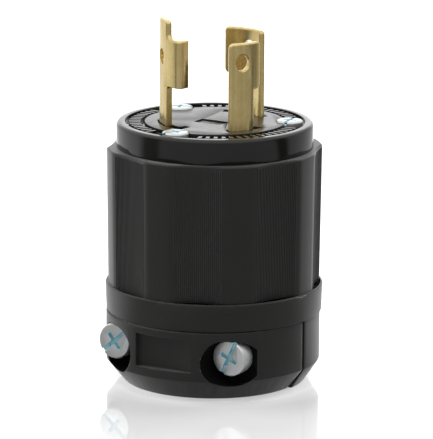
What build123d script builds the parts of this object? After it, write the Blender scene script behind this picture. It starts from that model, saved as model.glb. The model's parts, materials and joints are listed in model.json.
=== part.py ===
"""A locking power plug that stands on its cord end, with the blades up.

The plug's axis is Z, and z = 0 is the flat cord end. The cord clamp's screws
go in from the front, which is -Y, and their heads lie to the left and right.
Sizes are millimetres and angles are degrees, counted from +X towards +Y.
"""

import os
from math import cos, degrees, radians, sin

from build123d import *

os.makedirs("parts", exist_ok=True)

# Heights along the axis, from the cord end up
clamp_body_height = 17.4
ring_height = 6.7
ring_lip_height = 0.9
housing_length = 34.4
face_flange_height = 6.1
face_spigot_length = 11.6
retainer_thickness = 5.0
line_blade_reach = 21.1
ground_blade_rise = 4.5
hook_underside = 9.6

# Cord grip housing and its ring
base_inset = 3.5
base_chamfer_height = 5.2
ring_step = 0.4
ring_draft = 0.2
ring_edge_radius = 0.4
ring_floor_thickness = 3.0
ring_floor_hole_step = 1.5
grip_spigot_height = 4.0
grip_spigot_wall = 2.0
cord_mouth_chamfer = 1.4

# Clamp jaw, which is the front half of the clamp
split_setback = 0.4
jaw_opening = 0.8
jaw_top_gap = 0.3
jaw_base_step = 0.8
recess_radius = 5.75
recess_drop = 7.9
left_recess_shift = 2.3
right_recess_shift = 0.7
head_room = 0.2
jaw_panel_left = -6.1
jaw_panel_right = 9.0
jaw_panel_drop = 2.0
jaw_panel_height = 8.1
jaw_panel_depth = 2.2
tooth_pitch = 2.6
tooth_groove_width = 1.3
tooth_groove_depth = 0.8
tooth_count = 5

# Clamp screws and their inserts
clamp_screw_inset = 9.9
clamp_screw_drop = 6.7
clamp_screw_head_radius = 4.4
clamp_screw_head_height = 4.3
clamp_screw_radius = 2.4
clamp_screw_hole_radius = 2.7
clamp_seat_inset = 10.7
clamp_screw_overrun = 3.8
clamp_screw_back_offs = (0.8, 0.0)
clamp_screw_room = 1.0
clamp_insert_radius = 3.5
clamp_insert_length = 9.0
clamp_insert_inset = 0.5
clamp_insert_wall = 2.0

# Housing
land_count = 8
land_angle = 16.2
first_land_angle = -90.0
housing_taper = 0.4
scallop_bow = 0.55
housing_edge = 0.3
chamber_step = 1.0
seat_clearance = 0.1

# Front body
face_setback = 2.35
face_edge_radius = 1.0
face_spigot_step = 1.75
spigot_clearance = 0.2
lip_width = 2.1
channel_width = 4.8
channel_depth = 1.0
slot_clearance = 0.45
face_panel_width = 7.5
face_panel_height = 4.2
face_panel_drop = 1.7
face_panel_depth = 0.35
face_panel_corner = 0.4
tick_length = 2.9
tick_width = 1.05
tick_height = 0.85
tick_angle = 5.6
tick_count = 15

# Assembly screws and their inserts
assembly_circle_inset = 5.85
assembly_first_angle = 270.0
assembly_count = 3
assembly_head_radius = 3.2
assembly_head_height = 1.95
assembly_head_edge = 0.6
assembly_screw_radius = 1.75
assembly_hole_radius = 2.0
assembly_tip_gap = 0.4
counterbore_radius = 3.4
counterbore_depth = 1.5
assembly_boss_radius = 4.0
assembly_insert_radius = 2.6
assembly_insert_length = 6.6

# Blade retainer, with tubes round the screws and walls between the terminals
retainer_tube_radius = 3.75
retainer_tube_gap = 4.3
barrier_thickness = 1.6

# Blades: their circle sets the size of everything round them
blade_radius = 13.46
blade_margin = 3.59
blade_thickness = 1.52
blade_edge_radius = 0.6
blade_corner_radius = 1.1
hook_corner_radius = 1.3
hook_root_radius = 0.5
ground_root_radius = 1.5
ground_bend_radius = 1.3
ground_leg_depth = 3.3
blade_hole_radius = 1.9
blade_hole_rim = 0.3
blade_hole_drop = 4.7
shoulder_height = 2.5
shoulder_inner_step = 1.34
shoulder_outer_step = 0.44
shoulder_overhang = 1.2
shoulder_clearance = 0.1

# Terminals on the blades' tails
tail_angle = 30.0
tail_length = 14.0
tail_clearance = 0.15
terminal_screw_drop = 9.0
terminal_nut_thickness = 2.95
terminal_nut_height = 8.0
pressure_plate_thickness = 1.6
pressure_plate_overhang = 0.5
pressure_plate_height = 9.0
terminal_screw_radius = 2.0
terminal_hole_radius = 2.2
terminal_head_radius = 3.7
terminal_head_height = 2.8
terminal_screw_overrun = 0.8
thread_clearance = 0.05

# Screw heads: a broken edge, a slot across and a shorter cross at its middle
head_chamfer = 0.3
drive_slot_ratio = 0.11
drive_cross_ratio = 0.52
drive_slot_depth = 0.8
drive_cross_depth = 1.3
clamp_screw_turns = (40, 65)
assembly_screw_turns = (60, 100, 20)
terminal_screw_turn = 90

# Radii and widths worked out from the blades' circle
blade_inner_radius = blade_radius - blade_thickness
shoulder_inner_radius = blade_inner_radius - shoulder_inner_step
shoulder_outer_radius = blade_radius + shoulder_outer_step
tail_width = 2 * blade_radius * sin(radians(tail_angle / 2))
pressure_plate_width = tail_width + 2 * pressure_plate_overhang
plateau_radius = blade_radius + blade_margin
lip_radius = plateau_radius + channel_width
face_radius = lip_radius + lip_width
face_spigot_radius = face_radius - face_spigot_step
chamber_radius = face_spigot_radius - chamber_step
assembly_circle_radius = face_radius - assembly_circle_inset
housing_bore_radius = face_spigot_radius + spigot_clearance
housing_top_radius = face_radius + face_setback
housing_bottom_radius = housing_top_radius - housing_taper
lip_inner_radius = housing_bottom_radius + seat_clearance
grip_spigot_radius = chamber_radius - spigot_clearance
clamp_body_radius = housing_bottom_radius
base_radius = clamp_body_radius - base_inset
ring_bottom_radius = clamp_body_radius + ring_step
ring_top_radius = ring_bottom_radius + ring_draft
clamp_screw_offset = clamp_body_radius - clamp_screw_inset
clamp_seat = clamp_body_radius - clamp_seat_inset
cord_bore_radius = clamp_screw_offset - clamp_insert_radius - clamp_insert_wall
ring_floor_hole_radius = cord_bore_radius + ring_floor_hole_step

# Levels worked out from the heights
ring_bottom = clamp_body_height
ring_top = ring_bottom + ring_height
ring_floor = ring_bottom + ring_floor_thickness
housing_bottom = ring_top - ring_lip_height
housing_top = housing_bottom + housing_length
face = housing_top + face_flange_height
spigot_bottom = housing_top - face_spigot_length
retainer_bottom = spigot_bottom - retainer_thickness
grip_spigot_top = housing_bottom + grip_spigot_height
line_top = face + line_blade_reach
ground_top = line_top + ground_blade_rise
hook_bottom = face + hook_underside
blade_hole_height = line_top - blade_hole_drop
shoulder_bottom = spigot_bottom - shoulder_height
tail_bottom = shoulder_bottom - tail_length
terminal_height = shoulder_bottom - terminal_screw_drop
assembly_seat = face - counterbore_depth
channel_floor = face - channel_depth
retainer_tube_bottom = grip_spigot_top + retainer_tube_gap
assembly_insert_bottom = grip_spigot_top - assembly_insert_length
assembly_tip = assembly_insert_bottom + assembly_tip_gap
recess_height = clamp_body_height - recess_drop
clamp_screw_height = clamp_body_height - clamp_screw_drop
jaw_panel_top = clamp_body_height - jaw_panel_drop
jaw_panel_bottom = jaw_panel_top - jaw_panel_height
jaw_top = ring_bottom - jaw_top_gap

# Depths from front to back
split_plane = -split_setback
jaw_split_plane = split_plane - jaw_opening
clamp_insert_front = split_plane + clamp_insert_inset
clamp_insert_back = clamp_insert_front + clamp_insert_length
clamp_screw_tip = clamp_insert_back + clamp_screw_overrun
clamp_screw_hole_back = clamp_screw_tip + jaw_opening + clamp_screw_room
jaw_front = Plane(origin=(0, -jaw_opening, 0), x_dir=(1, 0, 0), z_dir=(0, -1, 0))
jaw_ground = Plane(origin=(0, -jaw_opening, 0))
facet_angle = 360 / land_count


def turned(angle):
    """A plane whose X points out along the angle and whose Y stays level."""
    direction = (cos(radians(angle)), sin(radians(angle)), 0)
    return Plane(origin=(0, 0, 0), x_dir=direction, z_dir=(0, 0, 1))


def radial(angle, radius, height):
    """A plane that faces outwards at the angle, with its X level and its Y up."""
    outwards = (cos(radians(angle)), sin(radians(angle)), 0)
    level = (-sin(radians(angle)), cos(radians(angle)), 0)
    centre = (radius * outwards[0], radius * outwards[1], height)
    return Plane(origin=centre, x_dir=level, z_dir=outwards)


def polar(radius, angle):
    """A point at the radius and angle, for a profile in plan."""
    return (radius * cos(radians(angle)), radius * sin(radians(angle)))


def arc_strip(inner, outer, start, end):
    """The plan of a curved strip between two radii and two angles."""
    middle = (start + end) / 2
    with BuildSketch() as strip:
        with BuildLine():
            ThreePointArc(polar(outer, start), polar(outer, middle), polar(outer, end))
            Line(polar(outer, end), polar(inner, end))
            ThreePointArc(polar(inner, end), polar(inner, middle), polar(inner, start))
            Line(polar(inner, start), polar(outer, start))
        make_face()
    return strip.sketch


def scalloped_outline(land_radius):
    """The housing's outline: round lands with shallow scallops between them."""
    half_land = land_angle / 2
    half_scallop = facet_angle / 2 - half_land
    dip_radius = land_radius * cos(radians(half_scallop)) - scallop_bow
    with BuildSketch() as outline:
        with BuildLine():
            for number in range(land_count):
                land = first_land_angle + number * facet_angle
                start = polar(land_radius, land - half_land)
                end = polar(land_radius, land + half_land)
                following = polar(land_radius, land + facet_angle - half_land)
                ThreePointArc(start, polar(land_radius, land), end)
                ThreePointArc(end, polar(dip_radius, land + facet_angle / 2), following)
        make_face()
    return outline.sketch


def drive_recess(top, head_radius, turn):
    """What is cut from a screw's head at its top plane: a slot, and a shorter cross."""
    width = 2 * head_radius * drive_slot_ratio
    cross = 2 * head_radius * drive_cross_ratio
    with BuildPart() as recess:
        with BuildSketch(top):
            Rectangle(3 * head_radius, width, rotation=turn)
        extrude(amount=-drive_slot_depth)
        with BuildSketch(top):
            Rectangle(cross, width, rotation=turn)
            Rectangle(width, cross, rotation=turn)
        extrude(amount=-drive_cross_depth)
    return recess.part


def save(piece, name):
    """Label a finished piece and write it to its own file."""
    piece.part.label = name
    export_step(piece.part, f"parts/{name}.step")


assembly_angles = [
    assembly_first_angle + number * 360 / assembly_count
    for number in range(assembly_count)
]

# Blades: where each stem starts and ends, and where its hook ends
hot_start_angle = 315.9
hot_end_angle = 346.0
hot_hook_angle = 355.5
neutral_start_angle = 57.0
neutral_end_angle = 99.6
neutral_hook_angle = 110.4
ground_start_angle = 209.7
ground_end_angle = 241.5
ground_hook_angle = 262.2


def hook_middle(start, end):
    """The angle at which a blade's shoulder, tail and terminal point outwards."""
    return (start + end) / 2


def shoulder_width(start, end):
    """The shoulder is wider than the slot that the hook passes through."""
    span = 2 * blade_radius * sin(radians((end - start) / 2))
    return span + 2 * slot_clearance + 2 * shoulder_overhang


def shoulder_and_tail(start, end):
    """The shoulder that the retainer traps, and the flat tail for the terminal."""
    outwards = hook_middle(start, end)
    depth = shoulder_outer_radius - shoulder_inner_radius
    with BuildPart() as lower:
        with BuildSketch(turned(outwards).offset(shoulder_bottom)):
            with Locations((shoulder_inner_radius + depth / 2, 0)):
                Rectangle(depth, shoulder_width(start, end))
        extrude(amount=shoulder_height)
        with BuildSketch(turned(outwards).offset(tail_bottom)):
            with Locations((blade_inner_radius + blade_thickness / 2, 0)):
                Rectangle(blade_thickness, tail_width)
        extrude(amount=tail_length + shoulder_height)
        with BuildSketch(radial(outwards, 0, terminal_height)):
            Circle(terminal_hole_radius)
        extrude(amount=2 * shoulder_outer_radius, mode=Mode.SUBTRACT)
    return lower.part


def stem_hole(start, end):
    """What is cut for the round hole through a stem, with a broken edge outside."""
    middle = (start + end) / 2
    rim = blade_hole_radius + blade_hole_rim
    with BuildPart() as hole:
        with BuildSketch(radial(middle, 0, blade_hole_height)):
            Circle(blade_hole_radius)
        extrude(amount=2 * blade_radius)
        with BuildSketch(radial(middle, blade_radius - blade_hole_rim, blade_hole_height)):
            Circle(blade_hole_radius)
        with BuildSketch(radial(middle, blade_radius, blade_hole_height)):
            Circle(rim)
        loft()
    return hole.part


def near(found, wanted):
    """Whether two measures are the same, apart from rounding."""
    return abs(found - wanted) < blade_thickness / 30


def upright_edges(part, radius, angle):
    """The part's upright edges at one radius and angle."""
    x, y = polar(radius, angle)
    return [
        edge
        for edge in part.edges().filter_by(Axis.Z)
        if near(edge.center().X, x) and near(edge.center().Y, y)
    ]


def level_edges(part, angle, height):
    """The part's short edges across the sheet, at one angle and height."""
    x, y = polar(blade_radius - blade_thickness / 2, angle)
    return [
        edge
        for edge in part.edges()
        if near(edge.center().X, x)
        and near(edge.center().Y, y)
        and near(edge.center().Z, height)
    ]


def top_edges(part, height):
    """The long curved edges along a blade's top."""
    return [
        edge
        for edge in part.edges().filter_by(GeomType.CIRCLE)
        if near(edge.center().Z, height) and near(edge.bounding_box().size.Z, 0)
    ]


def line_blade(stem_start, stem_end, hook_end):
    """A blade whose hook goes on round the circle."""
    with BuildPart() as blade:
        with BuildSketch(Plane.XY.offset(shoulder_bottom)):
            add(arc_strip(blade_inner_radius, blade_radius, stem_start, stem_end))
        extrude(amount=line_top - shoulder_bottom)
        with BuildSketch(Plane.XY.offset(hook_bottom)):
            add(arc_strip(blade_inner_radius, blade_radius, stem_start, hook_end))
        extrude(amount=line_top - hook_bottom)
        fillet(level_edges(blade.part, stem_end, hook_bottom), hook_root_radius)
        fillet(level_edges(blade.part, hook_end, hook_bottom), hook_corner_radius)
        fillet(level_edges(blade.part, stem_start, line_top), blade_corner_radius)
        fillet(level_edges(blade.part, hook_end, line_top), blade_corner_radius)
        fillet(top_edges(blade.part, line_top), blade_edge_radius)
        add(stem_hole(stem_start, stem_end), mode=Mode.SUBTRACT)
        add(shoulder_and_tail(stem_start, hook_end))
    return blade


hot_blade = line_blade(hot_start_angle, hot_end_angle, hot_hook_angle)
save(hot_blade, "hot_blade")

neutral_blade = line_blade(neutral_start_angle, neutral_end_angle, neutral_hook_angle)
save(neutral_blade, "neutral_blade")

# The ground blade is taller, and its hook turns inwards at its end
ground_leg_angle = degrees(blade_thickness / blade_radius)
ground_leg_radius = blade_radius - ground_leg_depth
ground_leg_start_angle = ground_hook_angle - ground_leg_angle
with BuildPart() as ground_blade:
    with BuildSketch(Plane.XY.offset(shoulder_bottom)):
        add(arc_strip(blade_inner_radius, blade_radius, ground_start_angle, ground_end_angle))
    extrude(amount=ground_top - shoulder_bottom)
    with BuildSketch(Plane.XY.offset(hook_bottom)):
        add(arc_strip(blade_inner_radius, blade_radius, ground_start_angle, ground_hook_angle))
        add(arc_strip(ground_leg_radius, blade_radius, ground_leg_start_angle, ground_hook_angle))
    extrude(amount=line_top - hook_bottom)
    fillet(level_edges(ground_blade.part, ground_end_angle, line_top), ground_root_radius)
    fillet(level_edges(ground_blade.part, ground_end_angle, hook_bottom), hook_root_radius)
    fillet(level_edges(ground_blade.part, ground_start_angle, ground_top), blade_corner_radius)
    fillet(level_edges(ground_blade.part, ground_end_angle, ground_top), blade_corner_radius)
    fillet(upright_edges(ground_blade.part, blade_radius, ground_hook_angle), ground_bend_radius)
    fillet(top_edges(ground_blade.part, ground_top), blade_edge_radius)
    add(stem_hole(ground_start_angle, ground_end_angle), mode=Mode.SUBTRACT)
    add(shoulder_and_tail(ground_start_angle, ground_hook_angle))
save(ground_blade, "ground_blade")

blade_spans = [
    (hot_start_angle, hot_hook_angle),
    (neutral_start_angle, neutral_hook_angle),
    (ground_start_angle, ground_hook_angle),
]
slot_spread_angle = degrees(slot_clearance / blade_radius)


def slot_plan(start, end):
    """The plan of the slot that a blade's hook passes through."""
    return arc_strip(
        blade_inner_radius - slot_clearance,
        blade_radius + slot_clearance,
        start - slot_spread_angle,
        end + slot_spread_angle,
    )


# Front body: the glossy face, its lip, channel and plateau, and the spigot behind
with BuildPart() as front_body:
    with BuildSketch(Plane.XZ):
        with BuildLine():
            Polyline(
                (0, spigot_bottom),
                (face_spigot_radius, spigot_bottom),
                (face_spigot_radius, housing_top),
                (face_radius, housing_top),
                (face_radius, face - face_edge_radius),
            )
            RadiusArc(
                (face_radius, face - face_edge_radius),
                (face_radius - face_edge_radius, face),
                -face_edge_radius,
            )
            Polyline(
                (face_radius - face_edge_radius, face),
                (lip_radius, face),
                (lip_radius, channel_floor),
                (plateau_radius, channel_floor),
                (plateau_radius, face),
                (0, face),
                (0, spigot_bottom),
            )
        make_face()
    revolve(axis=Axis.Z)
    # Raised ticks in the channel, in a group between each two screws
    tick_radius = (plateau_radius + lip_radius) / 2
    for screw_angle in assembly_angles:
        group_middle = screw_angle + 180 / assembly_count
        group_start = group_middle - (tick_count - 1) / 2 * tick_angle
        with BuildSketch(Plane.XY.offset(channel_floor)):
            with PolarLocations(
                tick_radius,
                tick_count,
                start_angle=group_start,
                angular_range=(tick_count - 1) * tick_angle,
                endpoint=True,
            ):
                Rectangle(tick_length, tick_width)
        extrude(amount=tick_height)
    # Shallow panel on the plateau
    with BuildSketch(Plane.XY.offset(face)):
        with Locations((0, -face_panel_drop)):
            RectangleRounded(face_panel_width, face_panel_height, face_panel_corner)
    extrude(amount=-face_panel_depth, mode=Mode.SUBTRACT)
    # Screw counterbores and holes
    with BuildSketch(Plane.XY.offset(assembly_seat)):
        with PolarLocations(assembly_circle_radius, assembly_count, assembly_first_angle):
            Circle(counterbore_radius)
    extrude(amount=counterbore_depth, mode=Mode.SUBTRACT)
    with BuildSketch(Plane.XY.offset(spigot_bottom)):
        with PolarLocations(assembly_circle_radius, assembly_count, assembly_first_angle):
            Circle(assembly_hole_radius)
    extrude(amount=assembly_seat - spigot_bottom, mode=Mode.SUBTRACT)
    # Blade slots
    with BuildSketch(Plane.XY.offset(spigot_bottom)):
        for span_start, span_end in blade_spans:
            add(slot_plan(span_start, span_end))
        add(
            arc_strip(
                ground_leg_radius - slot_clearance,
                blade_radius,
                ground_leg_start_angle - slot_spread_angle,
                ground_hook_angle + slot_spread_angle,
            )
        )
    extrude(amount=face - spigot_bottom, mode=Mode.SUBTRACT)
save(front_body, "front_body")

# Blade retainer: a plate with shoulder pockets, tail slots, screw tubes and walls
with BuildPart() as blade_retainer:
    with BuildSketch(Plane.XY.offset(retainer_bottom)):
        Circle(face_spigot_radius)
    extrude(amount=retainer_thickness)
    with BuildSketch(Plane.XY.offset(retainer_bottom)):
        with PolarLocations(assembly_circle_radius, assembly_count, assembly_first_angle):
            Circle(retainer_tube_radius)
        with PolarLocations(assembly_circle_radius / 2, assembly_count, assembly_first_angle):
            Rectangle(assembly_circle_radius, barrier_thickness)
        Circle(grip_spigot_radius, mode=Mode.INTERSECT)
    extrude(amount=retainer_tube_bottom - retainer_bottom)
    with BuildSketch(Plane.XY.offset(spigot_bottom)):
        with PolarLocations(assembly_circle_radius, assembly_count, assembly_first_angle):
            Circle(assembly_hole_radius)
    extrude(amount=retainer_tube_bottom - spigot_bottom, mode=Mode.SUBTRACT)
    for span_start, span_end in blade_spans:
        outwards = hook_middle(span_start, span_end)
        pocket_depth = shoulder_outer_radius - shoulder_inner_radius
        with BuildSketch(turned(outwards).offset(shoulder_bottom)):
            with Locations((shoulder_inner_radius + pocket_depth / 2, 0)):
                Rectangle(
                    pocket_depth + 2 * shoulder_clearance,
                    shoulder_width(span_start, span_end) + 2 * shoulder_clearance,
                )
        extrude(amount=shoulder_height, mode=Mode.SUBTRACT)
        with BuildSketch(turned(outwards).offset(shoulder_bottom)):
            with Locations((blade_inner_radius + blade_thickness / 2, 0)):
                Rectangle(
                    blade_thickness + 2 * tail_clearance,
                    tail_width + 2 * tail_clearance,
                )
        extrude(amount=retainer_bottom - shoulder_bottom, mode=Mode.SUBTRACT)
save(blade_retainer, "blade_retainer")

# Terminals: a threaded pad, a pressure plate and a screw on each blade's tail
plate_outer_radius = blade_radius + pressure_plate_thickness
for name, (span_start, span_end) in zip(("hot", "neutral", "ground"), blade_spans):
    outwards = hook_middle(span_start, span_end)

    with BuildPart() as terminal_nut:
        with BuildSketch(radial(outwards, blade_inner_radius, terminal_height)):
            Rectangle(tail_width, terminal_nut_height)
            Circle(terminal_screw_radius + thread_clearance, mode=Mode.SUBTRACT)
        extrude(amount=-terminal_nut_thickness)
    save(terminal_nut, f"{name}_terminal_nut")

    with BuildPart() as pressure_plate:
        with BuildSketch(radial(outwards, blade_radius, terminal_height)):
            Rectangle(pressure_plate_width, pressure_plate_height)
            Circle(terminal_hole_radius, mode=Mode.SUBTRACT)
        extrude(amount=pressure_plate_thickness)
        chamfer(
            pressure_plate.edges().filter_by(Axis.Z),
            pressure_plate_thickness / 3,
        )
    save(pressure_plate, f"{name}_pressure_plate")

    with BuildPart() as terminal_screw:
        shank = (
            pressure_plate_thickness
            + blade_thickness
            + terminal_nut_thickness
            + terminal_screw_overrun
        )
        seat = radial(outwards, plate_outer_radius, terminal_height)
        with BuildSketch(seat):
            Circle(terminal_head_radius)
        extrude(amount=terminal_head_height)
        chamfer(terminal_screw.edges().filter_by(GeomType.CIRCLE), head_chamfer)
        with BuildSketch(seat):
            Circle(terminal_screw_radius)
        extrude(amount=-shank)
        head_top = seat.offset(terminal_head_height)
        recess = drive_recess(head_top, terminal_head_radius, terminal_screw_turn)
        add(recess, mode=Mode.SUBTRACT)
    save(terminal_screw, f"{name}_terminal_screw")

# Housing: the scalloped sleeve, bored for the chamber and, above it, the spigot
with BuildPart() as housing:
    with BuildSketch(Plane.XY.offset(housing_bottom)):
        add(scalloped_outline(housing_bottom_radius))
    with BuildSketch(Plane.XY.offset(housing_top)):
        add(scalloped_outline(housing_top_radius))
    loft(ruled=True)
    chamfer(housing.edges().group_by(Axis.Z)[-1], housing_edge)
    with BuildSketch(Plane.XY.offset(housing_bottom)):
        Circle(chamber_radius)
    extrude(amount=housing_length, mode=Mode.SUBTRACT)
    with BuildSketch(Plane.XY.offset(retainer_bottom)):
        Circle(housing_bore_radius)
    extrude(amount=housing_top - retainer_bottom, mode=Mode.SUBTRACT)
save(housing, "housing")

# Cord grip housing: the ring, its floor and spigot, and the rear half of the clamp
with BuildPart() as cord_grip_housing:
    with BuildSketch(Plane.XZ):
        with BuildLine():
            Polyline(
                (cord_bore_radius + cord_mouth_chamfer, 0),
                (base_radius, 0),
                (clamp_body_radius, base_chamfer_height),
                (clamp_body_radius, ring_bottom),
                (ring_bottom_radius, ring_bottom),
                (ring_top_radius, ring_top - ring_edge_radius),
            )
            RadiusArc(
                (ring_top_radius, ring_top - ring_edge_radius),
                (ring_top_radius - ring_edge_radius, ring_top),
                -ring_edge_radius,
            )
            Polyline(
                (ring_top_radius - ring_edge_radius, ring_top),
                (lip_inner_radius, ring_top),
                (lip_inner_radius, housing_bottom),
                (grip_spigot_radius, housing_bottom),
                (grip_spigot_radius, grip_spigot_top),
                (grip_spigot_radius - grip_spigot_wall, grip_spigot_top),
                (grip_spigot_radius - grip_spigot_wall, ring_floor),
                (ring_floor_hole_radius, ring_floor),
                (ring_floor_hole_radius, ring_bottom),
                (cord_bore_radius, ring_bottom),
                (cord_bore_radius, cord_mouth_chamfer),
                (cord_bore_radius + cord_mouth_chamfer, 0),
            )
        make_face()
    revolve(axis=Axis.Z)
    # The front half of the clamp is the jaw's place
    with BuildSketch(Plane.XY):
        with Locations((0, split_plane)):
            Rectangle(
                3 * clamp_body_radius,
                2 * clamp_body_radius,
                align=(Align.CENTER, Align.MAX),
            )
    extrude(amount=ring_bottom, mode=Mode.SUBTRACT)
    # Bosses for the long screws, inside the spigot
    with BuildSketch(Plane.XY.offset(ring_floor)):
        with PolarLocations(assembly_circle_radius, assembly_count, assembly_first_angle):
            Circle(assembly_boss_radius)
        Circle(grip_spigot_radius, mode=Mode.INTERSECT)
    extrude(amount=grip_spigot_top - ring_floor)
    with BuildSketch(Plane.XY.offset(grip_spigot_top)):
        with PolarLocations(assembly_circle_radius, assembly_count, assembly_first_angle):
            Circle(assembly_insert_radius)
    extrude(amount=-assembly_insert_length, mode=Mode.SUBTRACT)
    # Blind holes for the clamp screws' inserts, with room past them for the screws
    insert_plane = Plane(origin=(0, split_plane, 0), x_dir=(1, 0, 0), z_dir=(0, -1, 0))
    with BuildSketch(insert_plane):
        with Locations(
            (-clamp_screw_offset, clamp_screw_height),
            (clamp_screw_offset, clamp_screw_height),
        ):
            Circle(clamp_insert_radius)
    extrude(amount=split_plane - clamp_insert_back, mode=Mode.SUBTRACT)
    with BuildSketch(insert_plane):
        with Locations(
            (-clamp_screw_offset, clamp_screw_height),
            (clamp_screw_offset, clamp_screw_height),
        ):
            Circle(clamp_screw_hole_radius)
    extrude(amount=split_plane - clamp_screw_hole_back, mode=Mode.SUBTRACT)
save(cord_grip_housing, "cord_grip_housing")

# Clamp jaw: the front half of the clamp, shown a little open
with BuildPart() as clamp_jaw:
    with BuildSketch(jaw_front):
        with BuildLine():
            Polyline(
                (cord_bore_radius + cord_mouth_chamfer, 0),
                (base_radius - jaw_base_step, 0),
                (clamp_body_radius, base_chamfer_height),
                (clamp_body_radius, jaw_top),
                (cord_bore_radius, jaw_top),
                (cord_bore_radius, cord_mouth_chamfer),
                (cord_bore_radius + cord_mouth_chamfer, 0),
            )
        make_face()
    revolve(axis=Axis(origin=(0, -jaw_opening, 0), direction=(0, 0, 1)))
    with BuildSketch(Plane.XY):
        with Locations((0, jaw_split_plane)):
            Rectangle(
                3 * clamp_body_radius,
                2 * clamp_body_radius,
                align=(Align.CENTER, Align.MIN),
            )
    extrude(amount=jaw_top, mode=Mode.SUBTRACT)
    # Grooves that leave teeth on the cord side
    groove_start = (jaw_top - (tooth_count - 1) * tooth_pitch) / 2
    for number in range(tooth_count):
        groove = groove_start + number * tooth_pitch - tooth_groove_width / 2
        with BuildSketch(jaw_ground.offset(groove)):
            Circle(cord_bore_radius + tooth_groove_depth)
        extrude(amount=tooth_groove_width, mode=Mode.SUBTRACT)
    # Round recesses, counterbores for the clamp screws' heads, and the screws' holes
    seat_plane = Plane(origin=(0, -clamp_seat, 0), x_dir=(1, 0, 0), z_dir=(0, -1, 0))
    with BuildSketch(seat_plane):
        with Locations(
            (left_recess_shift - clamp_screw_offset, recess_height),
            (right_recess_shift + clamp_screw_offset, recess_height),
        ):
            Circle(recess_radius)
        with Locations(
            (-clamp_screw_offset, clamp_screw_height),
            (clamp_screw_offset, clamp_screw_height),
        ):
            Circle(clamp_screw_head_radius + head_room)
    extrude(amount=clamp_body_radius, mode=Mode.SUBTRACT)
    with BuildSketch(seat_plane):
        with Locations(
            (-clamp_screw_offset, clamp_screw_height),
            (clamp_screw_offset, clamp_screw_height),
        ):
            Circle(clamp_screw_hole_radius)
    extrude(amount=-clamp_seat, mode=Mode.SUBTRACT)
    # Panel with a flat floor, sunk into the round front
    panel_middle = (jaw_panel_left + jaw_panel_right) / 2
    panel_height = (jaw_panel_bottom + jaw_panel_top) / 2
    with BuildSketch(jaw_front.offset(clamp_body_radius - jaw_panel_depth)):
        with Locations((panel_middle, panel_height)):
            Rectangle(jaw_panel_right - jaw_panel_left, jaw_panel_height)
    extrude(amount=2 * jaw_panel_depth, mode=Mode.SUBTRACT)
save(clamp_jaw, "clamp_jaw")

# Clamp screws and their inserts
clamp_sides = zip(
    ("left", "right"),
    (-clamp_screw_offset, clamp_screw_offset),
    clamp_screw_turns,
    clamp_screw_back_offs,
)
for side, offset, turn, back_off in clamp_sides:
    with BuildPart() as clamp_screw:
        seat = Plane(
            origin=(offset, -clamp_seat - back_off, clamp_screw_height),
            x_dir=(1, 0, 0),
            z_dir=(0, -1, 0),
        )
        with BuildSketch(seat):
            Circle(clamp_screw_head_radius)
        extrude(amount=clamp_screw_head_height)
        chamfer(clamp_screw.edges().filter_by(GeomType.CIRCLE), head_chamfer)
        with BuildSketch(seat):
            Circle(clamp_screw_radius)
        extrude(amount=-clamp_seat - clamp_screw_tip)
        head_top = seat.offset(clamp_screw_head_height)
        add(drive_recess(head_top, clamp_screw_head_radius, turn), mode=Mode.SUBTRACT)
    save(clamp_screw, f"clamp_screw_{side}")

    with BuildPart() as clamp_insert:
        with BuildSketch(
            Plane(
                origin=(offset, clamp_insert_front, clamp_screw_height),
                x_dir=(1, 0, 0),
                z_dir=(0, -1, 0),
            )
        ):
            Circle(clamp_insert_radius)
            Circle(clamp_screw_radius + thread_clearance, mode=Mode.SUBTRACT)
        extrude(amount=-clamp_insert_length)
    save(clamp_insert, f"clamp_insert_{side}")

# Assembly screws, from the face down into their inserts
for number, (angle, turn) in enumerate(zip(assembly_angles, assembly_screw_turns), start=1):
    x, y = polar(assembly_circle_radius, angle)
    with BuildPart() as assembly_screw:
        seat = Plane(origin=(x, y, assembly_seat), x_dir=(1, 0, 0), z_dir=(0, 0, 1))
        with BuildSketch(seat):
            Circle(assembly_head_radius)
        extrude(amount=assembly_head_height)
        fillet(
            assembly_screw.edges().filter_by(GeomType.CIRCLE).sort_by(Axis.Z)[-1],
            assembly_head_edge,
        )
        with BuildSketch(seat):
            Circle(assembly_screw_radius)
        extrude(amount=assembly_tip - assembly_seat)
        head_top = seat.offset(assembly_head_height)
        add(drive_recess(head_top, assembly_head_radius, turn), mode=Mode.SUBTRACT)
    save(assembly_screw, f"assembly_screw_{number}")

    with BuildPart() as assembly_insert:
        with BuildSketch(Plane(origin=(x, y, grip_spigot_top))):
            Circle(assembly_insert_radius)
            Circle(assembly_screw_radius + thread_clearance, mode=Mode.SUBTRACT)
        extrude(amount=-assembly_insert_length)
    save(assembly_insert, f"assembly_insert_{number}")
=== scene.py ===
"""The looks of the locking power plug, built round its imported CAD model.

Each visible moulding, blade and screw is a softened copy of its CAD solid, with
its sharp edges rounded, its planes cleaned up and a procedural finish. The
housing's fine ribs and the clamp screws' threads are built by Geometry Nodes.
Lengths are metres, like the frame's. Most are written as millimetres times MM.
"""

import json
from math import cos, pi, radians, sin

import bmesh
import bpy
from mathutils import Matrix, Vector
from mathutils.kdtree import KDTree


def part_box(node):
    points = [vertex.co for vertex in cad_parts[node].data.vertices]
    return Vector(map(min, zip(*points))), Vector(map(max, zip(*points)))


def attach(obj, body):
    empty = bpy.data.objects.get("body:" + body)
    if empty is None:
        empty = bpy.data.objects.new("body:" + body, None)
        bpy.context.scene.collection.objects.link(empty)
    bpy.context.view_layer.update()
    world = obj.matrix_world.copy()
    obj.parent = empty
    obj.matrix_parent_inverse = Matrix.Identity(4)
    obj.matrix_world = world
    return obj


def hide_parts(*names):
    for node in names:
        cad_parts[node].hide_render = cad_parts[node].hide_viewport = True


MM = 0.001

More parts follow.
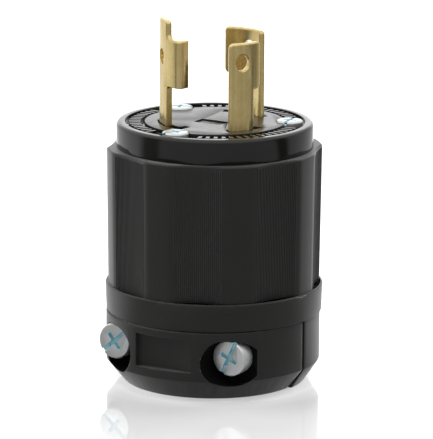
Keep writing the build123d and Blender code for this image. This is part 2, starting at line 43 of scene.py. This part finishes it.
# The face's plateau, which is blasted finer than its polished side
PLATEAU_RADIUS = 17.1

# The housing's scallops, as the source has them, in millimetres and degrees
HOUSING_TAPER = 0.4
SCALLOPS = 8
FIRST_SCALLOP = -67.5
SCALLOP_ANGLE = 28.8
SCALLOP_BOW = 0.55

# The fine ribs in each scallop, which stop a little short of the housing's ends
RIBS_IN_SCALLOP = 25
RIB_SPACING = 0.48
RIB_THICKNESS = 0.15
RIB_RELIEF = 0.12
RIB_CORNERS = 8
RIB_START = 0.5
RIB_ENDS = 1.2

# The clamp screws' heads, and the radii, pitch and ends of their threads
HEAD_LENGTH = 4.2
THREAD_CORE = 2.12
THREAD_TOP = 2.4
THREAD_PITCH = 0.8
THREAD_CLEARANCE = 0.02
THREAD_START = 0.9
THREAD_END = 0.5
THREAD_STEPS = 20
RIDGE_CORNERS = 6

# A clamp screw's shank lies within this many times its thread's core radius
SHANK_REACH = 1.25

# The screws' drive recesses: how far inside the head's rim they stay, and the depths
# between which their faces lie
RECESS_MARGIN = 0.35
RECESS_TOP = 0.02
RECESS_BOTTOM = 1.7

# The jaw's screw pockets, which get painted shade: how far from the screw's axis their
# walls may be, how deep below the head's top they go, and how deep their floor is at
# least
POCKET_REACH = 8.6
POCKET_DEPTH = HEAD_LENGTH + 0.9
POCKET_FLOOR = 3.0

# A pocket wall's normal has less of Y than the first, and its floor's than the second
SIDEWAYS = 0.15
FRONTAL = -0.9

# How a CAD mesh is cleaned: points closer than the weld are one, edges shorter than
# the speck go, and faces that differ by less than the flat angle are one plane
WELD = 0.002
SPECK = 0.001
FLAT_ANGLE = 0.4

# Which folds are rounded, in how many steps, and up to which fold shading is smooth
SHARP_ANGLE = 28.0
BEVEL_STEPS = 3
SMOOTH_ANGLE = 35.0

# An edge is rounded by at most this share of its distance from any corner within so
# many widths, apart from corners that touch it or lie on the same bending line
CORNER_REACH = 2.5
ROUNDING_SHARE = 0.42
TOUCHING = 0.02
ALIGNMENT = 0.94
STRAYING = 0.35

# The photograph's viewpoint, solved from the plug's round edges
CAMERA_PLACE = (0.4957, -0.8120, 0.2563)
CAMERA_PITCH = 12.854
CAMERA_AZIMUTH = 31.468
CAMERA_ROLL = 0.337
CAMERA_LENS = 328.3
CAMERA_SENSOR = 36.0
CAMERA_SHIFT = (0.0149, -0.0010)

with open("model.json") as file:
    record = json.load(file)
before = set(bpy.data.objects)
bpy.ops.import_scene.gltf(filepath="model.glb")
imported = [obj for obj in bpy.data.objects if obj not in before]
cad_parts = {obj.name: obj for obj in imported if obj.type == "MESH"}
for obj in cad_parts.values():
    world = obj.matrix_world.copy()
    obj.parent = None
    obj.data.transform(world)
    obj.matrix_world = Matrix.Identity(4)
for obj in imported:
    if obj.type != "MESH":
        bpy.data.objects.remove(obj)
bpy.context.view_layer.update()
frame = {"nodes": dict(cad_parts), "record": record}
cad_nodes = frame["nodes"]


# Shader and geometry node trees


class Wire:
    """A node's output, on which sums can be written as Python expressions."""

    def __init__(self, tree, socket):
        self.tree = tree
        self.socket = socket

    def __add__(self, other):
        return self.tree.maths("ADD", self, other)

    def __radd__(self, other):
        return self.tree.maths("ADD", other, self)

    def __sub__(self, other):
        return self.tree.maths("SUBTRACT", self, other)

    def __rsub__(self, other):
        return self.tree.maths("SUBTRACT", other, self)

    def __mul__(self, other):
        return self.tree.maths("MULTIPLY", self, other)

    def __rmul__(self, other):
        return self.tree.maths("MULTIPLY", other, self)

    def __truediv__(self, other):
        return self.tree.maths("DIVIDE", self, other)

    def __lt__(self, other):
        return self.tree.maths("LESS_THAN", self, other)


class Tree:
    """A node tree that is being built, one node at a time."""

    def __init__(self, node_tree):
        self.node_tree = node_tree

    def made(self, kind, settings=None, inputs=None):
        """Add a node: its settings come first, then its sockets' values or links."""
        node = self.node_tree.nodes.new(kind)
        for name, value in (settings or {}).items():
            if name == "stops":
                set_stops(node.color_ramp, value)
            else:
                setattr(node, name, value)
        for key, value in (inputs or {}).items():
            if isinstance(value, Wire):
                self.node_tree.links.new(value.socket, node.inputs[key])
            else:
                node.inputs[key].default_value = value
        return node

    def node(self, kind, settings=None, inputs=None, output=0):
        """The same, for a node of which one output is used."""
        made = self.made(kind, settings, inputs)
        return Wire(self, made.outputs[output])

    def maths(self, operation, *values):
        settings = {"operation": operation}
        return self.node("ShaderNodeMath", settings, dict(enumerate(values)))

    def axes(self, vector):
        """A vector's parts along X, Y and Z."""
        parts = self.made("ShaderNodeSeparateXYZ", None, {"Vector": vector})
        return [Wire(self, part) for part in parts.outputs]

    def ramp(self, value, stops):
        """The value, turned into the grey levels or colours of the stops."""
        return self.node("ShaderNodeValToRGB", {"stops": stops}, {"Fac": value})

    def blended(self, factor, first, second):
        """The first colour where the factor is 0, and the second where it is 1."""
        colours = [c if isinstance(c, Wire) else opaque(c) for c in (first, second)]
        return self.node(
            "ShaderNodeMix",
            {"data_type": "RGBA"},
            {0: factor, 6: colours[0], 7: colours[1]},
            output=2,
        )

    def attribute(self, name):
        """One of the piece's own attributes, which is 0 where a piece lacks it."""
        settings = {"attribute_name": name}
        return self.node("ShaderNodeAttribute", settings, output="Fac")


def set_stops(ramp, stops):
    """Give a colour ramp its stops, each a place and a grey level or a colour."""
    while len(ramp.elements) < len(stops):
        ramp.elements.new(0.5)
    for element, (place, colour) in zip(ramp.elements, stops):
        element.position = place
        element.color = opaque(colour)


def opaque(colour):
    """Red, green, blue and alpha from a grey level or a colour."""
    if isinstance(colour, (int, float)):
        colour = (colour, colour, colour)
    return (*colour[:3], 1.0)


class Finish(Tree):
    """A material that is being built, with patterns measured in millimetres."""

    def __init__(self, name):
        self.material = bpy.data.materials.new(name)
        self.material.use_nodes = True
        super().__init__(self.material.node_tree)
        self.node_tree.nodes.clear()
        self.output = self.made("ShaderNodeOutputMaterial")

    def place(self, scale=(1.0, 1.0, 1.0)):
        """Where a point is on the piece in millimetres, stretched by the scale."""
        coordinates = self.node("ShaderNodeTexCoord", output="Object")
        inputs = {"Vector": coordinates, "Scale": [value / MM for value in scale]}
        return self.node("ShaderNodeMapping", None, inputs)

    def noise(self, size, detail=2.0, roughness=0.5, stretch=(1.0, 1.0, 1.0)):
        """Soft noise between 0 and 1, whose blotches have the size in millimetres."""
        inputs = {
            "Vector": self.place(stretch),
            "Scale": 1.0 / size,
            "Detail": detail,
            "Roughness": roughness,
        }
        return self.node("ShaderNodeTexNoise", None, inputs)

    def specks(self, spacing, radius, share):
        """A mask of round specks, of up to the radius, in this share of the cells."""
        cells = self.made(
            "ShaderNodeTexVoronoi",
            {"feature": "F1"},
            {"Vector": self.place(), "Scale": 1.0 / spacing},
        )
        distance = Wire(self, cells.outputs["Distance"])
        random = Wire(self, cells.outputs["Color"])
        parts = self.made("ShaderNodeSeparateColor", None, {"Color": random})
        chance, size = [Wire(self, part) for part in parts.outputs[:2]]
        inside = distance < size * (radius / spacing)
        return inside * (chance < share)

    def bump(self, height, depth, before=None):
        """Relief of the depth in millimetres, where the height goes from 0 to 1."""
        inputs = {"Height": height, "Distance": depth * MM, "Strength": 1.0}
        if before is not None:
            inputs["Normal"] = before
        return self.node("ShaderNodeBump", None, inputs)

    def surface(self, inputs, second=None, share=None):
        """The finish's shader, or two of them mixed, which ends the material."""
        shader = self.node("ShaderNodeBsdfPrincipled", None, inputs)
        if second:
            other = self.node("ShaderNodeBsdfPrincipled", None, second)
            mixed = {0: share, 1: shader, 2: other}
            shader = self.node("ShaderNodeMixShader", None, mixed)
        self.node_tree.links.new(shader.socket, self.output.inputs["Surface"])
        return self.material


def gloss_nylon():
    """The polished mould's black nylon of the face."""
    make = Finish("gloss_nylon")
    cloud = make.noise(9.0, detail=3.0)
    smear = make.noise(2.2, detail=4.0, stretch=(1.0, 1.0, 0.25))
    dust = make.specks(1.5, 0.10, 0.16)
    grain = make.noise(0.16, detail=2.0)
    colour = make.blended(cloud, (0.0045, 0.0045, 0.0042), (0.0078, 0.0077, 0.0070))
    relief = make.bump(grain, 0.0016)
    relief = make.bump(smear, 0.008, before=relief)
    x, y, _ = make.axes(make.place())
    plateau = x * x + y * y < PLATEAU_RADIUS * PLATEAU_RADIUS
    polish = 0.06 + 0.08 * smear + 0.5 * dust
    return make.surface(
        {
            "Base Color": make.blended(dust, colour, 0.22),
            "Roughness": polish + (0.13 + 0.10 * cloud) * plateau,
            "Specular IOR Level": 0.5,
            "Normal": relief,
        }
    )


def matte_nylon():
    """The spark-finished mould's black nylon, with painted shade, darker and duller,
    where a pocket is marked.
    """
    make = Finish("matte_nylon")
    cloud = make.noise(14.0, detail=3.0)
    streak = make.noise(1.6, detail=3.0, stretch=(1.0, 1.0, 0.08))
    dust = make.specks(1.9, 0.11, 0.20)
    grain = make.noise(0.22, detail=3.0, roughness=0.65)
    grey = Vector((1.0, 0.99, 0.92)) * 0.0112
    colour = make.blended(cloud, 0.85 * grey, 1.2 * grey)
    relief = make.bump(grain, 0.010)
    return make.surface(
        {
            "Base Color": make.blended(dust, colour, 0.26),
            "Roughness": 0.33 + 0.10 * streak + 0.10 * grain + 0.2 * dust,
            "Specular IOR Level": 0.34,
            "Sheen Weight": 0.45,
            "Sheen Roughness": 0.35,
            "Normal": relief,
        },
        # Painted shade: a darker, rougher nylon with less shine on the faces marked
        # inside the jaw's screw pockets
        {
            "Base Color": make.blended(cloud, 0.0015, 0.0025),
            "Roughness": 0.85,
            "Specular IOR Level": 0.1,
        },
        make.attribute("recess"),
    )


def stamped_brass():
    """Rolled brass, tumbled after stamping, with faint draw lines and stains."""
    make = Finish("stamped_brass")
    cloud = make.noise(5.5, detail=4.0, roughness=0.6)
    lines = make.noise(0.55, detail=3.0, stretch=(1.0, 1.0, 0.05))
    spots = make.noise(0.9, detail=5.0, roughness=0.7)
    patch = make.ramp(cloud, [(0.30, 0.0), (0.72, 1.0)])
    streak = make.noise(1.1, detail=3.0, stretch=(1.0, 1.0, 0.03))
    worn = make.blended(patch, (0.88, 0.70, 0.34), (0.73, 0.57, 0.25))
    drawn = make.ramp(streak, [(0.42, 0.0), (0.70, 0.6)])
    colour = make.blended(drawn, worn, (0.60, 0.46, 0.17))
    stain = make.ramp(spots, [(0.56, 0.0), (0.78, 0.40)])
    relief = make.bump(lines, 0.006)
    relief = make.bump(spots, 0.006, before=relief)
    return make.surface(
        {
            "Base Color": make.blended(stain, colour, (0.36, 0.25, 0.09)),
            "Metallic": 1.0,
            "Roughness": 0.17 + 0.12 * patch + 0.10 * lines,
            "Normal": relief,
        }
    )


def zinc_plate(name="zinc_plate", tint=(0.78, 0.80, 0.80)):
    """Bright zinc plate, bluer in the recess, where the passivate pools."""
    make = Finish(name)
    cloud = make.noise(1.8, detail=3.0)
    fine = make.noise(0.18, detail=3.0)
    recess = make.attribute("recess")
    colour = make.blended(cloud, tint, tuple(0.86 * c for c in tint))
    relief = make.bump(fine, 0.006)
    relief = make.bump(cloud, 0.012, before=relief)
    return make.surface(
        {
            "Base Color": make.blended(recess, colour, (0.40, 0.66, 0.72)),
            "Metallic": 0.8 - 0.45 * recess,
            "Roughness": 0.32 + 0.12 * cloud,
            "Normal": relief,
        }
    )


finishes = {
    "gloss_nylon": gloss_nylon(),
    "matte_nylon": matte_nylon(),
    "brass": stamped_brass(),
    "plated_steel": zinc_plate(),
    "green_screw": zinc_plate("green_dye", (0.05, 0.33, 0.12)),
}


# Softened copies of the visible solids


def softened(node, name, width, core=None):
    """A copy of a CAD solid whose sharp edges are rounded by up to the width."""
    mesh = cad_nodes[node].data.copy()
    mesh.name = name
    shape = bmesh.new()
    shape.from_mesh(mesh)
    bmesh.ops.remove_doubles(shape, verts=shape.verts, dist=WELD * MM)
    bmesh.ops.dissolve_degenerate(shape, edges=shape.edges, dist=SPECK * MM)
    bmesh.ops.dissolve_limit(
        shape, angle_limit=radians(FLAT_ANGLE), verts=shape.verts, edges=shape.edges
    )
    if core:
        thin_shank(shape, node, core)
    weigh_edges(shape, width * MM)
    shape.to_mesh(mesh)
    shape.free()
    mesh.materials.clear()
    piece = bpy.data.objects.new(name, mesh)
    bpy.context.scene.collection.objects.link(piece)
    round_edges = piece.modifiers.new("rounded edges", "BEVEL")
    round_edges.width = width * MM
    round_edges.segments = BEVEL_STEPS
    round_edges.limit_method = "WEIGHT"
    round_edges.use_clamp_overlap = False
    round_edges.harden_normals = False
    return settled(piece)


def thin_shank(shape, node, core):
    """Draw a clamp screw's shank in to its thread's core radius, in millimetres."""
    low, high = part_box(node)
    x, z = (low[0] + high[0]) / 2, (low[2] + high[2]) / 2
    outside = SHANK_REACH * core * MM
    for vertex in shape.verts:
        across = Vector((vertex.co.x - x, 0.0, vertex.co.z - z))
        behind_head = vertex.co.y > low[1] + HEAD_LENGTH * MM
        if behind_head and core * MM < across.length < outside:
            across *= core * MM / across.length
            vertex.co.x, vertex.co.z = x + across.x, z + across.z


def weigh_edges(shape, width):
    """Weigh each sharp edge by how much rounding the nearest other corner leaves it."""
    weights = shape.edges.layers.float.new("bevel_weight_edge")
    corners = KDTree(len(shape.verts))
    for vertex in shape.verts:
        corners.insert(vertex.co, vertex.index)
    corners.balance()
    folded = {
        edge
        for edge in shape.edges
        if len(edge.link_faces) == 2
        and edge.calc_face_angle(0.0) > radians(SHARP_ANGLE)
    }
    chain_of = {}
    for edge in folded:
        for vertex in edge.verts:
            chain_of.setdefault(vertex.index, set()).add(edge)
    reach = CORNER_REACH * width
    for edge in folded:
        along = direction(edge)
        start, end = edge.verts
        room = width
        for place in (start.co, (start.co + end.co) / 2):
            for found, index, distance in corners.find_range(place, reach):
                offset = found - place
                aside = (offset - along * offset.dot(along)).length
                same_line = aside < STRAYING * distance and any(
                    abs(direction(other).dot(along)) > ALIGNMENT
                    for other in chain_of.get(index, ())
                )
                if index in (start.index, end.index) or same_line:
                    continue
                if aside > TOUCHING * MM:
                    room = min(room, ROUNDING_SHARE * aside)
        edge[weights] = room / width


def direction(edge):
    """Which way an edge goes, as a vector one long."""
    return (edge.verts[1].co - edge.verts[0].co).normalized()


def settled(piece):
    """Turn a piece with modifiers into plain mesh, shaded smooth up to a fold."""
    bpy.context.view_layer.update()
    evaluated = piece.evaluated_get(bpy.context.evaluated_depsgraph_get())
    mesh = bpy.data.meshes.new_from_object(evaluated)
    piece.modifiers.clear()
    piece.data = mesh
    mesh.shade_smooth()
    mesh.set_sharp_from_angle(angle=radians(SMOOTH_ANGLE))
    return piece


def dressed(piece, node, body, slot):
    """Give a piece its finish, and let it stand for its CAD node."""
    piece.data.materials.clear()
    piece.data.materials.append(finishes[slot])
    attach(piece, body)
    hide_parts(node)


def mark_recess(piece, node, axis):
    """Mark the faces inside a screw head's drive recess, for the finish to tint."""
    low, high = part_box(node)
    middle = [(a + b) / 2 for a, b in zip(low, high)]
    top = low[1] if axis == 1 else high[2]
    radius = (high[0] - low[0]) / 2 - RECESS_MARGIN * MM
    marks = piece.data.attributes.new("recess", "FLOAT", "FACE")
    for face, mark in zip(piece.data.polygons, marks.data):
        place = face.center
        depth = abs(place[axis] - top)
        aside = [place[i] - middle[i] for i in range(3) if i != axis]
        inside = Vector(aside).length < radius
        if inside and RECESS_TOP * MM < depth < RECESS_BOTTOM * MM:
            mark.value = 1.0


def mark_pocket_shade(piece):
    """Mark the faces inside the jaw's two screw pockets, where the nylon gets painted
    shade: a darker colour, with more roughness and less shine.
    """
    marks = piece.data.attributes.new("recess", "FLOAT", "FACE")
    for screw in ("clamp_screw_left", "clamp_screw_right"):
        low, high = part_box(screw)
        axis = Vector(((low[0] + high[0]) / 2, low[1], (low[2] + high[2]) / 2))
        for face, mark in zip(piece.data.polygons, marks.data):
            out = face.center - axis
            deep, out.y = out.y, 0.0
            wall = abs(face.normal.y) < SIDEWAYS and face.normal.dot(out) < 0.0
            floor = face.normal.y < FRONTAL and deep > POCKET_FLOOR * MM
            near = out.length < POCKET_REACH * MM and deep < POCKET_DEPTH * MM
            if near and (wall or floor):
                mark.value = 1.0


# Each copy's node, then its name, its rounding in millimetres, its body and its slot
SOFTENED = {
    "front_body": ("face_moulding", 0.14, "plug", "gloss_nylon"),
    "housing": ("grip_sleeve", 0.12, "plug", "matte_nylon"),
    "cord_grip_housing": ("cord_grip_moulding", 0.16, "plug", "matte_nylon"),
    "clamp_jaw": ("jaw_moulding", 0.16, "jaw", "matte_nylon"),
    "hot_blade": ("hot_blade_stamping", 0.22, "plug", "brass"),
    "neutral_blade": ("neutral_blade_stamping", 0.22, "plug", "brass"),
    "ground_blade": ("ground_blade_stamping", 0.22, "plug", "brass"),
    "clamp_screw_left": ("left_clamp_bolt", 0.12, "jaw", "plated_steel"),
    "clamp_screw_right": ("right_clamp_bolt", 0.12, "jaw", "plated_steel"),
    "assembly_screw_1": ("face_screw_1", 0.10, "plug", "plated_steel"),
    "assembly_screw_2": ("face_screw_2", 0.10, "plug", "plated_steel"),
    "assembly_screw_3": ("face_screw_3", 0.10, "plug", "plated_steel"),
}
for node, (name, width, body, slot) in SOFTENED.items():
    clamping = node.startswith("clamp_screw")
    piece = softened(node, name, width, core=THREAD_CORE if clamping else None)
    if slot == "plated_steel":
        mark_recess(piece, node, axis=1 if clamping else 2)
    # The jaw's screw pockets are marked for the nylon's painted shade
    if node == "clamp_jaw":
        mark_pocket_shade(piece)
    dressed(piece, node, body, slot)

slot_of = {row["node"]: row["material_slot"] for row in frame["record"]["subparts"]}
for node, piece in cad_nodes.items():
    if node not in SOFTENED:
        piece.data.materials.clear()
        piece.data.materials.append(finishes[slot_of[node]])


# What repeats, by Geometry Nodes


class Builder(Tree):
    """A Geometry Nodes tree whose inputs are named, and that ends in plain mesh."""

    def __init__(self, name, inputs):
        group = bpy.data.node_groups.new(name, "GeometryNodeTree")
        super().__init__(group)
        self.values = inputs
        sockets = group.interface
        for label, value in inputs.items():
            kind = "NodeSocketInt" if isinstance(value, int) else "NodeSocketFloat"
            sockets.new_socket(label, in_out="INPUT", socket_type=kind)
        kind = "NodeSocketGeometry"
        sockets.new_socket("Geometry", in_out="OUTPUT", socket_type=kind)
        self.group_input = self.made("NodeGroupInput")
        self.group_output = self.made("NodeGroupOutput")

    def given(self, label):
        """One of the tree's named inputs."""
        return Wire(self, self.group_input.outputs[label])

    def vector(self, x=0.0, y=0.0, z=0.0):
        return self.node("ShaderNodeCombineXYZ", None, {"X": x, "Y": y, "Z": z})

    def sweep(self, curve, profile):
        """A closed bar whose section is the profile, swept along the curve."""
        return self.node(
            "GeometryNodeCurveToMesh",
            None,
            {"Curve": curve, "Profile Curve": profile, "Fill Caps": True},
        )

    def ring(self, radius, corners):
        """A round profile with the given number of corners."""
        return self.node(
            "GeometryNodeCurvePrimitiveCircle",
            {"mode": "RADIUS"},
            {"Resolution": corners, "Radius": radius},
        )

    def instances(self, points, part, rotation):
        return self.node(
            "GeometryNodeInstanceOnPoints",
            None,
            {"Points": points, "Instance": part, "Rotation": rotation},
        )

    def piece(self, geometry, name, material):
        """The tree's result as an object of plain mesh."""
        plain = self.node(
            "GeometryNodeRealizeInstances", None, {"Geometry": geometry}
        )
        clad = self.node(
            "GeometryNodeSetMaterial", None, {"Geometry": plain, "Material": material}
        )
        self.node_tree.links.new(clad.socket, self.group_output.inputs["Geometry"])
        built = bpy.data.objects.new(name, bpy.data.meshes.new(name))
        bpy.context.scene.collection.objects.link(built)
        grow = built.modifiers.new("build", "NODES")
        grow.node_group = self.node_tree
        for item in self.node_tree.interface.items_tree:
            if item.in_out == "INPUT":
                grow[item.identifier] = self.values[item.name]
        return settled(built)


def scallop_ribs():
    """Fine upright ribs that fill each scallop of the housing, for grip."""
    low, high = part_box("housing")
    bottom_radius = high[0] - HOUSING_TAPER * MM
    half_chord = bottom_radius * sin(radians(SCALLOP_ANGLE / 2))
    flat_radius = bottom_radius * cos(radians(SCALLOP_ANGLE / 2))
    build = Builder(
        "scallop_ribs",
        {
            "Scallops": SCALLOPS,
            "Ribs in a scallop": RIBS_IN_SCALLOP,
            "Rib spacing": RIB_SPACING * MM,
            "Rib thickness": RIB_THICKNESS * MM,
            "Rib relief": RIB_RELIEF * MM,
            "Bottom": low[2] + RIB_START * MM,
            "Length": high[2] - low[2] - RIB_ENDS * MM,
            "Lean": HOUSING_TAPER * MM / (high[2] - low[2]),
            "Chord radius": flat_radius,
            "Half chord": half_chord,
            "Bow": SCALLOP_BOW * MM,
        },
    )
    ribs = build.given("Ribs in a scallop")
    index = build.node("GeometryNodeInputIndex")
    scallop = build.maths("FLOOR", index / ribs)
    place = index - scallop * ribs
    across = (place - (ribs - 1.0) / 2.0) * build.given("Rib spacing")
    share = across / build.given("Half chord")
    depth = build.given("Chord radius") - build.given("Bow") * (1.0 - share * share)
    depth = depth + build.given("Rib relief") - build.given("Rib thickness")
    turn = radians(FIRST_SCALLOP) + scallop * (2 * pi / SCALLOPS)
    cosine = build.maths("COSINE", turn)
    sine = build.maths("SINE", turn)
    point = build.vector(
        depth * cosine - across * sine,
        depth * sine + across * cosine,
        build.given("Bottom"),
    )
    points = build.node(
        "GeometryNodePoints",
        None,
        {"Count": build.given("Scallops") * ribs, "Position": point},
    )
    line = build.node(
        "GeometryNodeCurvePrimitiveLine",
        {"mode": "POINTS"},
        {"Start": (0.0, 0.0, 0.0), "End": build.vector(z=build.given("Length"))},
    )
    rib = build.sweep(line, build.ring(build.given("Rib thickness"), RIB_CORNERS))
    rotation = build.vector(0.0, build.given("Lean"), turn)
    return build.piece(
        build.instances(points, rib, rotation), "scallop_ribs", finishes["matte_nylon"]
    )


def screw_thread(node, name):
    """A rolled thread wound round a clamp screw's shank, behind its head."""
    low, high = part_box(node)
    start = low[1] + (HEAD_LENGTH + THREAD_START) * MM
    length = high[1] - THREAD_END * MM - start
    ridge = (THREAD_TOP - THREAD_CORE) * MM
    build = Builder(
        name,
        {
            "Turns": length / (THREAD_PITCH * MM),
            "Length": length,
            "Winding radius": (THREAD_TOP - THREAD_CLEARANCE) * MM - ridge,
            "Ridge radius": ridge,
            "Steps a turn": THREAD_STEPS,
        },
    )
    helix = build.node(
        "GeometryNodeCurveSpiral",
        None,
        {
            "Resolution": build.given("Steps a turn"),
            "Rotations": build.given("Turns"),
            "Start Radius": build.given("Winding radius"),
            "End Radius": build.given("Winding radius"),
            "Height": build.given("Length"),
        },
    )
    profile = build.ring(build.given("Ridge radius"), RIDGE_CORNERS)
    ridge_wire = build.sweep(helix, profile)
    laid = build.node(
        "GeometryNodeTransform",
        None,
        {
            "Geometry": ridge_wire,
            "Translation": ((low[0] + high[0]) / 2, start, (low[2] + high[2]) / 2),
            "Rotation": (-pi / 2, 0.0, 0.0),
        },
    )
    return build.piece(laid, name, finishes["plated_steel"])


ribs = scallop_ribs()
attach(ribs, "plug")
for side in ("left", "right"):
    thread = screw_thread(f"clamp_screw_{side}", f"{side}_clamp_thread")
    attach(thread, "jaw")


# The studio


# Brightness of the room round the plug, by the azimuth from the camera in degrees
ROOM = [
    (-180, 1.75),
    (-164, 1.38),
    (-150, 0.86),
    (-124, 0.88),
    (-98, 0.85),
    (-86, 0.13),
    (-69, 0.13),
    (-63, 0.46),
    (60, 0.41),
    (74, 0.40),
    (79, 0.05),
    (89, 0.05),
    (95, 0.45),
    (150, 0.70),
    (165, 1.55),
    (180, 1.75),
]
ROOM_STRENGTH = 1.75

# How much the floor mirrors, by a place that is 1 on the plug's axis and falls by the
# fade for each metre from it
MIRROR_SHARE = [
    (0.0, 0.0),
    (0.2, 0.12),
    (0.50, 0.46),
    (0.60, 0.49),
    (0.66, 0.49),
    (0.707, 0.50),
    (0.742, 0.49),
    (0.777, 0.40),
    (0.812, 0.14),
]
MIRROR_FADE = 8.0

# The floor's white, its glow towards the camera, how rough its mirror is, and half its
# width in metres
FLOOR_WHITE = 0.62
FLOOR_GLOW = 0.50
FLOOR_BLUR = 0.02
FLOOR_HALF = 3.0

# The ceiling as gloss mirrors it, the heights between which it takes over from the
# walls, and the even light that falls on the plug
CEILING = 0.60
CEILING_RISE = [(0.30, 0.0), (0.60, 1.0)]
AMBIENT = 0.45

# The point that the lamps face. Then, for each lamp, its azimuth from the camera's in
# degrees, its height, distance, width and length in metres, and its power in watts
LAMP_TARGET = Vector((0.0, 0.0, 0.05))
LAMPS = {
    "overhead": (0.0, 1.1, 0.1, 0.9, 0.9, 9.0),
    "left_box": (-105.0, 0.42, 0.9, 0.5, 0.8, 9.0),
    "right_box": (125.0, 0.42, 0.9, 0.5, 0.8, 9.0),
}


def room_round(tree, vector):
    """How bright the studio is in a direction from the plug, apart from its lamps."""
    toward = radians(CAMERA_AZIMUTH - 90.0)
    x, y, _ = tree.axes(vector)
    ahead = x * cos(toward) + y * sin(toward)
    aside = y * cos(toward) - x * sin(toward)
    turn = tree.maths("ARCTAN2", aside, ahead)
    stops = [(0.5 + angle / 360.0, level / ROOM_STRENGTH) for angle, level in ROOM]
    return tree.ramp(0.5 + turn / (2 * pi), stops)


def studio_floor():
    """A plain white gloss board that keeps the plug's shadow and mirrors its foot."""
    make = Finish("white_board")
    camera = make.node("ShaderNodeLightPath", output="Is Camera Ray")
    glossy = make.node("ShaderNodeLightPath", output="Is Glossy Ray")
    coordinates = make.node("ShaderNodeTexCoord", output="Object")
    board = make.node(
        "ShaderNodeBsdfPrincipled",
        None,
        {
            "Base Color": opaque(FLOOR_WHITE),
            "Roughness": 0.9,
            "Specular IOR Level": 0.0,
            "Emission Color": opaque(1.0),
            "Emission Strength": FLOOR_GLOW * camera,
        },
    )
    mirror = make.node(
        "ShaderNodeBsdfGlossy", None, {"Color": opaque(1.0), "Roughness": FLOOR_BLUR}
    )
    scaled = make.node(
        "ShaderNodeMapping", None, {"Vector": coordinates, "Scale": [MIRROR_FADE] * 3}
    )
    spread = make.node(
        "ShaderNodeTexGradient",
        {"gradient_type": "SPHERICAL"},
        {"Vector": scaled},
        output=1,
    )
    share = make.ramp(spread, MIRROR_SHARE)
    polished = make.node("ShaderNodeMixShader", None, {0: share, 1: board, 2: mirror})
    room = make.node(
        "ShaderNodeEmission",
        None,
        {"Color": room_round(make, coordinates), "Strength": ROOM_STRENGTH},
    )
    seen = make.node("ShaderNodeMixShader", None, {0: glossy, 1: polished, 2: room})
    make.node_tree.links.new(seen.socket, make.output.inputs["Surface"])
    mesh = bpy.data.meshes.new("floor")
    half = FLOOR_HALF
    mesh.from_pydata(
        [(-half, -half, 0), (half, -half, 0), (half, half, 0), (-half, half, 0)],
        [],
        [(0, 1, 2, 3)],
    )
    mesh.materials.append(make.material)
    floor = bpy.data.objects.new("floor", mesh)
    bpy.context.scene.collection.objects.link(floor)


def studio_world():
    """White for the camera, the room's walls for gloss, and grey as a light."""
    world = bpy.data.worlds.new("studio")
    world.use_nodes = True
    bpy.context.scene.world = world
    tree = Tree(world.node_tree)
    world.node_tree.nodes.clear()
    camera = tree.node("ShaderNodeLightPath", output="Is Camera Ray")
    glossy = tree.node("ShaderNodeLightPath", output="Is Glossy Ray")
    heading = tree.node("ShaderNodeTexCoord", output="Generated")
    _, _, height = tree.axes(heading)
    up = tree.ramp(height, CEILING_RISE)
    walls = tree.blended(up, room_round(tree, heading), CEILING)
    plain = tree.node(
        "ShaderNodeBackground",
        None,
        {"Color": opaque(1.0), "Strength": AMBIENT + (1.0 - AMBIENT) * camera},
    )
    room = tree.node(
        "ShaderNodeBackground", None, {"Color": walls, "Strength": ROOM_STRENGTH}
    )
    seen = tree.node("ShaderNodeMixShader", None, {0: glossy, 1: plain, 2: room})
    output = tree.made("ShaderNodeOutputWorld")
    world.node_tree.links.new(seen.socket, output.inputs["Surface"])


def softbox(name, azimuth, height, distance, width, length, power):
    """A rectangular lamp that faces the plug, at an azimuth from the camera's."""
    lamp = bpy.data.lights.new(name, "AREA")
    lamp.shape = "RECTANGLE"
    lamp.size = width
    lamp.size_y = length
    lamp.energy = power
    light = bpy.data.objects.new(name, lamp)
    angle = radians(CAMERA_AZIMUTH - 90.0 + azimuth)
    place = Vector((distance * cos(angle), distance * sin(angle), height))
    turn = (LAMP_TARGET - place).to_track_quat("-Z", "Y").to_matrix().to_4x4()
    light.matrix_world = Matrix.Translation(place) @ turn
    light.visible_camera = False
    light.visible_glossy = False
    bpy.context.scene.collection.objects.link(light)


def photographer():
    """The camera at the photograph's viewpoint."""
    view = bpy.data.cameras.new("camera")
    view.lens = CAMERA_LENS
    view.sensor_width = CAMERA_SENSOR
    view.sensor_fit = "AUTO"
    view.shift_x, view.shift_y = CAMERA_SHIFT
    view.clip_start = 0.05
    view.clip_end = 20.0
    camera = bpy.data.objects.new("camera", view)
    turn = (
        Matrix.Rotation(radians(CAMERA_AZIMUTH), 4, "Z")
        @ Matrix.Rotation(radians(90.0 - CAMERA_PITCH), 4, "X")
        @ Matrix.Rotation(radians(CAMERA_ROLL), 4, "Z")
    )
    camera.matrix_world = Matrix.Translation(Vector(CAMERA_PLACE)) @ turn
    bpy.context.scene.collection.objects.link(camera)
    bpy.context.scene.camera = camera


studio_floor()
studio_world()
for name, settings in LAMPS.items():
    softbox(name, *settings)
photographer()
bpy.context.scene.view_settings.view_transform = "Standard"
